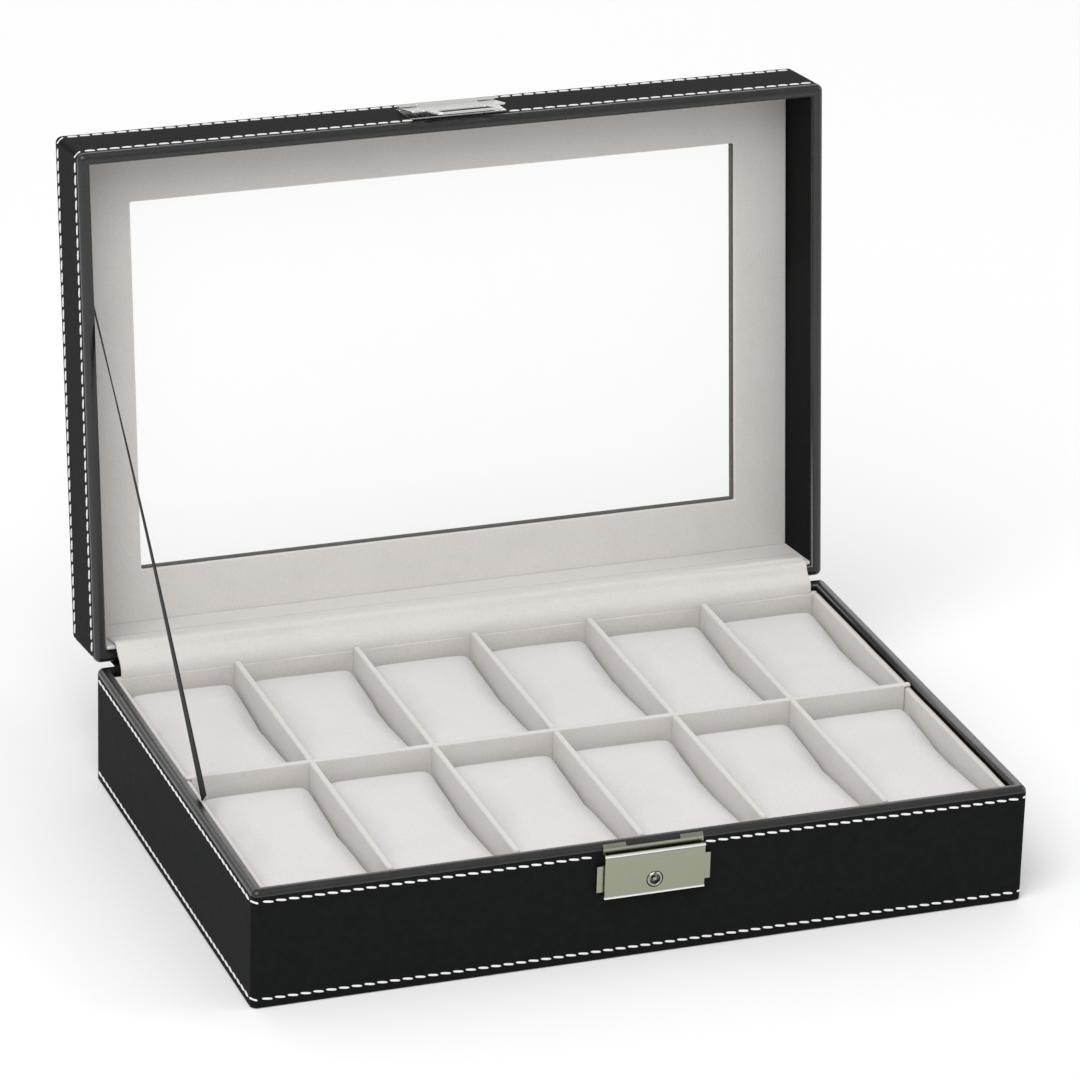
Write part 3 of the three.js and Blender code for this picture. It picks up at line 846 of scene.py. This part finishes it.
@dataclass
class Lid(Cover):
    """The lid: leather, stitching, boards, window and velvet.

    Attributes:
        rim_row: The row of stitches near the rim, up from it.
        top_row: The row near the top, down from it.
        window_edge: Rounding of the leather at the window.
        panel_edge: Rounding of the velvet panel's edges.
        lining_edge: Rounding of the back lining's edges.
        margin: Between the leather's turned edge at the window and the glass.
    """

    rim_row: float = 4.4 * MM
    top_row: float = 5.0 * MM
    window_edge: float = 1.0 * MM
    panel_edge: float = 0.65 * MM
    lining_edge: float = 0.5 * MM
    margin: float = 0.2 * MM

    def build(self) -> None:
        """Makes the lid's pieces shut, and opens them."""
        low, high = shut_box("lid_leather")
        panel_low, panel_high = shut_box("lid_velvet_panel")
        glass_low, glass_high = shut_box("lid_glass")
        window = window_half(panel_low, panel_high)
        self.leather(low, high, glass_high.z, window)
        for name, height in (("rim", low.z + self.rim_row), ("top", high.z - self.top_row)):
            plate_low, plate_high = shut_box("hasp_plate")
            gap = (plate_low.x, plate_high.x) if name == "rim" else None
            row = self.stitching.row(low, high, height, gap)
            bmesh.ops.transform(row, matrix=TO_OPEN, verts=row.verts)
            self.piece(f"lid_stitches_{name}", row, THREAD, "black_leather", "lid")
        self.panel(panel_low, panel_high, window)
        back = slab(*shut_box("lid_lining_back"))
        round_edges(back, self.lining_edge, 3, lambda e: True)
        sliced(back, 0, 6 * MM)
        rippled(back, 0.12 * MM, 30 * MM, 3.0)
        bmesh.ops.transform(back, matrix=TO_OPEN, verts=back.verts)
        self.piece("lid_back_velvet", back, LINING, "lining_velvet", "lid", ["lid_lining_back"])
        walls = [f"lid_wall_{wall.name.lower()}" for wall in Wall]
        self.dress(BOARD, "lid_top_board", "lid_spacer_frame", *walls)
        self.dress(GLASS, "lid_glass")

    def leather(self, low: Vector, high: Vector, glass_top: float, window: Vector) -> None:
        """Makes the lid's skin, turned in at the rim and at the window.

        Args:
            low: The lid's lowest corner, shut.
            high: Its highest corner.
            glass_top: The glass's outer face.
            window: Half the window's size.
        """
        turned_in = high.z - glass_top - self.margin
        bm = self.shell(low, high, -1.0, glass_top - low.z, (high.x - window.x, turned_in))

        def on_top(edge: BMEdge) -> bool:
            """Tests whether an edge lies in the top."""
            return all(abs(v.co.z - high.z) < TINY for v in edge.verts)

        def at_window(edge: BMEdge) -> bool:
            """Tests whether an edge is by the window."""
            return all(abs(v.co.x) < window.x + MM and abs(v.co.y) < window.y + MM for v in edge.verts)

        round_edges(bm, self.outer, 6, lambda e: on_top(e) and not at_window(e))
        round_edges(bm, self.window_edge, 4, lambda e: on_top(e) and at_window(e))
        bmesh.ops.transform(bm, matrix=TO_OPEN, verts=bm.verts)
        self.piece(
            "lid_leather_cover", bm, LEATHER, "black_leather", "lid", ["lid_leather"], self.skin, RIM_LEATHER
        )

    def panel(self, low: Vector, high: Vector, window: Vector) -> None:
        """Makes the velvet frame round the window.

        Args:
            low: Its lowest corner, shut.
            high: Its highest corner.
            window: Half the window's size.
        """
        bm = slab(low, high)
        for direction in (Vector((0, 0, 1)), Vector((0, 0, -1))):
            face = facing(bm, direction)
            bmesh.ops.inset_region(bm, faces=[face], thickness=high.x - window.x, use_even_offset=True)
            bmesh.ops.delete(bm, geom=[face], context="FACES_ONLY")
        bmesh.ops.bridge_loops(bm, edges=[e for e in bm.edges if e.is_boundary])
        bmesh.ops.recalc_face_normals(bm, faces=bm.faces)
        round_edges(bm, self.panel_edge, 3, lambda e: True)
        sliced(bm, 0, 8 * MM)
        sliced(bm, 1, 8 * MM)
        rippled(bm, 0.1 * MM, 35 * MM, 7.0)
        bmesh.ops.transform(bm, matrix=TO_OPEN, verts=bm.verts)
        self.piece("lid_velvet_frame", bm, LINING, "lining_velvet", "lid", ["lid_velvet_panel"])


def window_half(low: Vector, high: Vector) -> Vector:
    """Finds half the window's size from the velvet panel's inner edges.

    Args:
        low: The panel's lowest corner, shut.
        high: Its highest corner.

    Returns:
        Half the window along X and Y.
    """
    points = [TO_SHUT @ v.co for v in frame["nodes"]["lid_velvet_panel"].data.vertices]
    inner = [p for p in points if p.x < high.x - MM and p.x > low.x + MM]
    return Vector((max(p.x for p in inner), max(p.y for p in inner), 0))


# ---------- velvet in the tray ----------


@dataclass
class TrayVelvet(Assembly):
    """The tray's linings and dividers, velvet glued over card.

    Attributes:
        roll: Rounding of a lining's top edge.
        fold: Rounding of a divider's edges.
        clearance: Between a cross divider and the long one.
        floor_edge: Rounding of the floor's edges.
        ledge_edge: Rounding of the long divider's edges.
        ledge_gap: Between the long divider and the linings that it runs over.
    """

    roll: float = 1.0 * MM
    fold: float = 0.75 * MM
    clearance: float = 0.12 * MM
    floor_edge: float = 0.4 * MM
    ledge_edge: float = 0.45 * MM
    ledge_gap: float = 0.2 * MM

    def build(self) -> None:
        """Makes every lining and divider."""
        for index, wall in enumerate(Wall):
            name = f"base_lining_{wall.name.lower()}"
            self.padded_card(name, [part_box(name)], self.roll, float(index))
        self.padded_card("base_lining_floor", [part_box("base_lining_floor")], self.floor_edge, 9.0)
        self.long_divider()
        long_low, long_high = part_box("divider_long")
        crosses = sorted(n for n in frame["nodes"] if n.startswith("divider_cross"))
        for index, name in enumerate(crosses):
            low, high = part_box(name)
            back = (Vector((low.x, long_high.y + self.clearance, low.z)), high)
            front = (low, Vector((high.x, long_low.y - self.clearance, high.z)))
            self.padded_card(name, [back, front], self.fold, 20.0 + index)

    def padded_card(self, node: str, boxes: list[tuple[Vector, Vector]], edge: float, seed: float) -> None:
        """Makes a velvet covered card from one or more boxes.

        Args:
            node: The CAD node that it stands for.
            boxes: Lowest and highest corners.
            edge: Rounding of its edges.
            seed: Picks its ripple.
        """
        cards = []
        for low, high in boxes:
            card = slab(low, high)
            round_edges(card, edge, 4, lambda e: True)
            sliced(card, 0 if high.x - low.x > high.y - low.y else 1, 5 * MM)
            cards.append(card)
        whole = merged(cards)
        rippled(whole, 0.16 * MM, 18 * MM, seed)
        self.piece(f"{node}_velvet", whole, LINING, "lining_velvet", "tray", [node])

    def long_divider(self) -> None:
        """Makes the long divider, whose top runs on over the linings at its ends."""
        low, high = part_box("divider_long")
        lining_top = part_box("base_lining_left")[1].z
        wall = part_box("base_lining_left")[1].x
        body_low = Vector((wall + self.ledge_gap, low.y, low.z))
        body_high = Vector((-wall - self.ledge_gap, high.y, high.z))
        bm = slab(body_low, body_high)
        ledge = Vector((0, 0, lining_top + self.ledge_gap))
        whole = [*bm.verts, *bm.edges, *bm.faces]
        bmesh.ops.bisect_plane(bm, geom=whole, plane_co=ledge, plane_no=(0, 0, 1))
        for sign in (-1, 1):
            bm.normal_update()
            ends = [f for f in bm.faces if f.normal.x * sign > 0.9 and f.calc_center_median().z > ledge.z]
            pulled(bm, ends[0], Vector((sign * (high.x - body_high.x), 0, 0)))
        round_edges(bm, self.ledge_edge, 3, lambda e: True)
        sliced(bm, 0, 5 * MM)
        rippled(bm, 0.14 * MM, 18 * MM, 31.0)
        self.piece("divider_long_velvet", bm, LINING, "lining_velvet", "tray", ["divider_long"])


# ---------- pillows ----------


@dataclass
class Pillows(Assembly):
    """Twelve foam rolls in sewn velvet suede covers, one for each slot.

    Attributes:
        shrink: How much smaller the cover starts along X, Y and Z, on each side.
        long_edge: Rounding of its long edges.
        end_edge: Rounding of the edges at its two ends.
        upright_edge: Rounding of its upright edges.
        voxel: The cloth's mesh size.
        pressure: The filling's pressure.
        cap: How far the cloth may swell along X, Y and Z.
        frames: Steps of the simulation.
        slump: How uneven each pillow's top is.
        smoothing: Passes that take out wrinkles too sharp for foam.
        ripple: How long the unevenness is.
    """

    shrink: Vector = field(default_factory=lambda: Vector((0.9, 1.2, 2.0)) * MM)
    long_edge: float = 4.0 * MM
    end_edge: float = 9.0 * MM
    upright_edge: float = 2.2 * MM
    voxel: float = 1.9 * MM
    pressure: float = 4.0
    cap: Vector = field(default_factory=lambda: Vector((0.5, 1.5, 2.6)) * MM)
    frames: int = 20
    slump: float = 0.3 * MM
    smoothing: int = 5
    ripple: float = 26 * MM

    def build(self) -> None:
        """Fills one cover and puts a copy in each slot, each a little different."""
        names = sorted(n for n in frame["nodes"] if n.startswith("pillow_"))
        low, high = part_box(names[0])
        half = (high - low) / 2
        filled = self.filled(half)
        for index, name in enumerate(names):
            low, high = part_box(name)
            bm = bmesh.new()
            bm.from_mesh(filled)
            if index % 2:
                bmesh.ops.scale(bm, vec=(-1, 1, 1), verts=bm.verts)
                bmesh.ops.reverse_faces(bm, faces=bm.faces)
            self.settle(bm, half, 5.3 * index)
            bmesh.ops.translate(bm, verts=bm.verts, vec=(low + high) / 2)
            pillow = self.piece(f"{name}_suede", bm, SUEDE, "pillow_velvet", name, [name])
            smooth = pillow.modifiers.new("smooth", "SUBSURF")
            smooth.levels = 1
            smooth.render_levels = 1
        bpy.data.meshes.remove(filled)

    def filled(self, half: Vector) -> bpy.types.Mesh:
        """Sews a cover a little smaller than its room and fills it.

        Args:
            half: Half the room that a pillow has.

        Returns:
            The filled cover's mesh, about the origin.
        """
        bm = slab(self.shrink - half, half - self.shrink)
        runs = ((1, self.long_edge), (0, self.end_edge), (2, self.upright_edge))
        for axis, width in runs:
            round_edges(
                bm, width, 4, lambda e: abs((e.verts[0].co - e.verts[1].co).normalized()[axis]) > 0.99
            )
        mesh = bpy.data.meshes.new("cover")
        bm.to_mesh(mesh)
        bm.free()
        cover = bpy.data.objects.new("cover", mesh)
        bpy.context.scene.collection.objects.link(cover)
        remesh = cover.modifiers.new("voxels", "REMESH")
        remesh.mode = "VOXEL"
        remesh.voxel_size = self.voxel
        shaped = self.evaluated(cover)
        cover.modifiers.clear()
        cover.data = shaped
        rest = [v.co.copy() for v in shaped.vertices]
        cloth = cover.modifiers.new("cloth", "CLOTH")
        cloth.settings.quality = 5
        cloth.settings.use_pressure = True
        cloth.settings.uniform_pressure_force = self.pressure
        cloth.settings.effector_weights.gravity = 0.0
        for step in range(1, self.frames + 1):
            bpy.context.scene.frame_set(step)
        swollen = self.evaluated(cover)
        cover.modifiers.clear()
        for vert, start in zip(swollen.vertices, rest):
            move = zip(vert.co - start, self.cap)
            vert.co = start + Vector([max(-cap, min(cap, part)) for part, cap in move])
        cover.data = swollen
        bpy.context.scene.frame_set(1)
        bm = bmesh.new()
        bm.from_mesh(cover.data)
        axes = {f"use_axis_{axis}": True for axis in "xyz"}
        for _ in range(self.smoothing):
            bmesh.ops.smooth_vert(bm, verts=bm.verts, factor=0.5, **axes)
        extent = Vector([max(v.co[k] for v in bm.verts) for k in range(3)])
        bmesh.ops.scale(bm, vec=Vector([half[k] / extent[k] for k in range(3)]), verts=bm.verts)
        result = cover.data.copy()
        bm.to_mesh(result)
        bm.free()
        bpy.data.objects.remove(cover)
        return result

    def evaluated(self, piece: bpy.types.Object) -> bpy.types.Mesh:
        """Gives a copy of an object's mesh with its modifiers applied."""
        graph = bpy.context.evaluated_depsgraph_get()
        return bpy.data.meshes.new_from_object(piece.evaluated_get(graph))

    def settle(self, bm: BMesh, half: Vector, seed: float) -> None:
        """Slumps a pillow a little and keeps it inside its slot.

        Args:
            bm: The pillow about the origin.
            half: Half the room that it has.
            seed: Picks its unevenness.
        """
        rippled(bm, self.slump, self.ripple, seed)
        for vert in bm.verts:
            for k in range(3):
                vert.co[k] = max(-half[k], min(half[k], vert.co[k]))


# ---------- cloth hinge ----------


@dataclass
class ClothHinge(Assembly):
    """The leather strip outside the hinge and the velvet cloth inside it.

    Attributes:
        strip: The leather's thickness.
        cloth: The velvet's thickness.
        step: How far apart the cloth's columns are.
        crease: How deep its long creases are.
    """

    strip: float = 0.7 * MM
    cloth: float = 1.0 * MM
    step: float = 6 * MM
    crease: float = 0.8 * MM

    def drawn_along(self, line: list[Vector], start: float, end: float) -> BMesh:
        """Draws a (y, z) line out along X.

        Args:
            line: Its points.
            start: Where the strip starts.
            end: Where it ends.

        Returns:
            A new mesh.
        """
        bm = bmesh.new()
        verts = [bm.verts.new((start, p.x, p.y)) for p in line]
        edges = [bm.edges.new(pair) for pair in zip(verts, verts[1:])]
        count = round((end - start) / self.step)
        for _ in range(count):
            made = bmesh.ops.extrude_edge_only(bm, edges=edges)["geom"]
            edges = [g for g in made if isinstance(g, BMEdge)]
            moved = [g for g in made if isinstance(g, BMVert)]
            bmesh.ops.translate(bm, verts=moved, vec=((end - start) / count, 0, 0))
            edges = [e for e in edges if abs(e.verts[0].co.x - e.verts[1].co.x) < TINY]
        return bm

    def through(self, points: list[Vector], steps: int) -> list[Vector]:
        """Gives a smooth line through points.

        Args:
            points: (y, z) points.
            steps: Points for each stretch.

        Returns:
            The finer line.
        """
        ends = [2 * points[0] - points[1], *points, 2 * points[-1] - points[-2]]
        line = []
        for a, b, c, d in zip(ends, ends[1:], ends[2:], ends[3:]):
            for k in range(steps):
                t = k / steps
                cubic = (3 * b - a - 3 * c + d) * t ** 3 + (2 * a - 5 * b + 4 * c - d) * t * t + (c - a) * t
                line.append(b + cubic / 2)
        return [*line, points[-1]]

    def opened(self, y: float, z: float) -> Vector:
        """Moves a (y, z) point of the shut lid to where it is now."""
        point = TO_OPEN @ Vector((0, y, z))
        return Vector((point.y, point.z))

    def build(self) -> None:
        """Makes the strip and the cloth."""
        low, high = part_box("hinge_spine")
        rim = HINGE.z
        back = HINGE.y + 0.5 * MM + self.strip
        outside = self.through(
            [
                Vector((back, low.z)),
                Vector((back, rim - 4 * MM)),
                Vector((back + 0.2 * MM, rim - 1.6 * MM)),
                self.opened(back + 0.2 * MM, rim + 1.6 * MM),
                self.opened(back, rim + 4 * MM),
                self.opened(back, rim + 11.2 * MM),
            ],
            6,
        )
        strip = self.drawn_along(outside, low.x, high.x)
        bmesh.ops.recalc_face_normals(strip, faces=strip.faces)
        piece = self.piece(
            "hinge_leather_strip", strip, LEATHER, "black_leather", None, ["hinge_spine"], self.strip
        )
        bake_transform(piece)
        self.inner_cloth()

    def inner_cloth(self) -> None:
        """Makes the velvet that bridges the two rims, with long soft creases."""
        low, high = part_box("hinge_lining")
        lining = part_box("base_lining_back")
        wall = shut_box("lid_lining_back")
        top = lining[1].z
        front = lining[0].y
        face = wall[0].y
        inside = self.through(
            [
                Vector((front + 0.9 * MM, top - 2.2 * MM)),
                Vector((front + 0.1 * MM, top - 0.2 * MM)),
                Vector((front + 0.9 * MM, top + 4.0 * MM)),
                Vector((front + 4.6 * MM, top + 7.6 * MM)),
                self.opened(face - 1.7 * MM, HINGE.z + 0.6 * MM),
                self.opened(face - 0.7 * MM, HINGE.z + 5.5 * MM),
                self.opened(face - 0.3 * MM, HINGE.z + 12 * MM),
            ],
            6,
        )
        bm = self.drawn_along(inside, low.x, high.x)
        bmesh.ops.recalc_face_normals(bm, faces=bm.faces)
        bm.normal_update()
        for vert in bm.verts:
            share = (vert.co.y - low.y) / (high.y - low.y)
            wave = math.sin(16 * share + 1.6 * noise.noise(Vector((vert.co.x * 12, 0, 4))))
            fade = math.sin(math.pi * min(1.0, max(0.0, share)))
            uneven = 0.6 + 0.8 * noise.noise(Vector((vert.co.x * 18, 3, share)))
            vert.co += vert.normal * self.crease * wave * fade * uneven
        piece = self.piece(
            "hinge_velvet_cloth", bm, LINING, "lining_velvet", None, ["hinge_lining"], self.cloth
        )
        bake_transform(piece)


# ---------- ribbon stay ----------


@dataclass
class RibbonStay(Assembly):
    """A ribbon that holds the lid open, tucked into the tray and the lid at its ends.

    Attributes:
        width: The ribbon's width.
        thickness: The ribbon's thickness.
        twist: How far it turns at its lower end, where it goes into the tray.
        lean: How far it turns at its upper end, in radians.
        bow: How far its middle stands off the straight line.
    """

    width: float = 6 * MM
    thickness: float = 0.5 * MM
    twist: float = math.radians(3)
    lean: float = 0.35
    bow: float = 0.9 * MM

    def build(self) -> None:
        """Makes the ribbon along the line between its two ends."""
        node = frame["nodes"]["stay_ribbon"]
        low_end, high_end = self.ends(node)
        run = high_end - low_end
        corner = Vector((self.thickness / 2, run.length, self.width / 2))
        bm = slab(Vector((-corner.x, 0, -corner.z)), corner)
        round_edges(bm, 0.2 * MM, 2, lambda e: True)
        sliced(bm, 1, 4 * MM)
        for vert in bm.verts:
            share = vert.co.y / run.length
            angle = self.twist * math.exp(-8 * share) - self.lean * share
            turned = Matrix.Rotation(angle, 3, "Y") @ vert.co
            bow = self.bow * math.sin(math.pi * share)
            vert.co = Vector((turned.x + bow, vert.co.y, turned.z))
        tilt = math.atan2(run.z, run.y)
        place = Matrix.Translation(low_end) @ Matrix.Rotation(tilt, 4, "X")
        bmesh.ops.transform(bm, matrix=place, verts=bm.verts)
        ribbon = self.piece("stay_ribbon_taffeta", bm, RIBBON, "black_ribbon", None, ["stay_ribbon"])
        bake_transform(ribbon)

    def ends(self, node: bpy.types.Object) -> tuple[Vector, Vector]:
        """Finds the middles of the CAD ribbon's two ends.

        Args:
            node: The CAD ribbon.

        Returns:
            The lower and the upper end.
        """
        points = sorted((v.co.copy() for v in node.data.vertices), key=lambda p: p.z + p.y)
        count = len(points) // 2
        middles = [sum(half, Vector()) / len(half) for half in (points[:count], points[count:])]
        return middles[0], middles[1]


# ---------- lock and hasp ----------


@dataclass
class Lock(Assembly):
    """The key lock on the tray and the hasp on the lid, stamped and plated.

    Attributes:
        edge: Rounding of their stamped edges.
        lip: Height of the polished lips on the cover.
        proud: How far they stand proud of it.
    """

    edge: float = 0.12 * MM
    lip: float = 1.1 * MM
    proud: float = 0.12 * MM

    def lips(self) -> None:
        """Makes the polished lips along the cover's top and bottom edges."""
        low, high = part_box("lock_cover")
        front, back = low.y - self.proud, low.y + self.lip
        bars = []
        for z in (high.z - self.lip + self.proud, low.z - self.proud):
            bar = slab(Vector((low.x, front, z)), Vector((high.x, back, z + self.lip)))
            round_edges(bar, 0.4 * self.lip, 4, lambda e: abs(e.verts[0].co.x - e.verts[1].co.x) > TINY)
            bars.append(bar)
        self.piece("lock_cover_lips", merged(bars), CHROME, "bright_chrome", "tray")

    def build(self) -> None:
        """Makes the lips and dresses the lock's and the hasp's pieces."""
        self.lips()
        self.dress(NICKEL, "lock_cover", "lock_back_plate", edge=self.edge)
        self.dress(CHROME, "lock_bolt", edge=self.edge)
        self.dress(STEEL, "lock_barrel", edge=self.edge)
        self.dress(CHROME, "hasp_plate", "hasp_flap", edge=self.edge)
        self.dress(CHROME, "hasp_pin", "hasp_rivet_left", "hasp_rivet_right")


# ---------- studio ----------


@dataclass
class Studio:
    """A pale floor, soft light and the camera.

    Attributes:
        azimuth: The camera's turn round the box, to its left.
        elevation: Its height above the horizon.
        roll: Its turn about its own line of sight.
        distance: From the target.
        target: Where it looks.
        lens: Its focal length in millimetres.
    """

    azimuth: float = math.radians(-20.52)
    elevation: float = math.radians(23.38)
    roll: float = math.radians(1.68)
    distance: float = 2.233
    target: Vector = field(default_factory=lambda: Vector((-0.0071, 0.0026, 0.1225)))
    lens: float = 200.8

    def camera(self) -> None:
        """Makes the camera."""
        data = bpy.data.cameras.new("camera")
        data.lens = self.lens
        data.sensor_width = 36.0
        data.clip_start = 0.05
        data.clip_end = 50.0
        camera = bpy.data.objects.new("camera", data)
        bpy.context.scene.collection.objects.link(camera)
        flat = math.cos(self.elevation)
        back = Vector(
            (math.sin(self.azimuth) * flat, -math.cos(self.azimuth) * flat, math.sin(self.elevation))
        )
        right = Vector((math.cos(self.azimuth), math.sin(self.azimuth), 0))
        up = back.cross(right)
        level = Matrix((right, up, back)).transposed()
        turned = level @ Matrix.Rotation(self.roll, 3, "Z")
        camera.matrix_world = Matrix.Translation(self.target + back * self.distance) @ turned.to_4x4()
        bpy.context.scene.camera = camera

    def floor(self) -> None:
        """Makes the floor."""
        bm = bmesh.new()
        bmesh.ops.create_grid(bm, x_segments=1, y_segments=1, size=6.0)
        mesh = bpy.data.meshes.new("floor")
        bm.to_mesh(mesh)
        bm.free()
        floor = bpy.data.objects.new("floor", mesh)
        bpy.context.scene.collection.objects.link(floor)
        paper = Finish("paper_backdrop_matt", "fbfbfb", 0.9)
        mesh.materials.append(paper.material())

    def softbox(self, name: str, place: Vector, size: tuple[float, float], watts: float) -> None:
        """Makes a soft light that faces the box.

        Args:
            name: The light's name.
            place: Where it is.
            size: Its width and height.
            watts: Its power.
        """
        data = bpy.data.lights.new(name, "AREA")
        data.shape = "RECTANGLE"
        data.size, data.size_y = size
        data.energy = watts
        light = bpy.data.objects.new(name, data)
        bpy.context.scene.collection.objects.link(light)
        light.location = place
        light.rotation_euler = (Vector((0, 0, 0.08)) - place).to_track_quat("-Z", "Y").to_euler()

    def light(self) -> None:
        """Makes the softboxes and the room's even light."""
        self.softbox("key", Vector((-0.9, -1.1, 1.9)), (1.8, 1.8), 33.0)
        self.softbox("rim", Vector((0.3, 1.9, 1.0)), (2.6, 0.9), 8.0)
        self.softbox("side", Vector((2.0, -0.4, 1.2)), (1.2, 1.4), 9.0)
        world = bpy.data.worlds.new("room")
        world.use_nodes = True
        room = world.node_tree.nodes["Background"]
        room.inputs["Color"].default_value = (1.0, 1.0, 1.0, 1.0)
        room.inputs["Strength"].default_value = 0.58
        bpy.context.scene.world = world
        bpy.context.scene.view_settings.view_transform = "Standard"


def main() -> None:
    """Builds every assembly in order."""
    logging.basicConfig(level=logging.INFO, format="%(name)s: %(message)s")
    studio = Studio()
    studio.camera()
    studio.floor()
    studio.light()
    for assembly in (TrayShell(), TrayVelvet(), Pillows(), Lid(), ClothHinge(), RibbonStay(), Lock()):
        assembly.build()


if __name__ == "__main__":
    main()
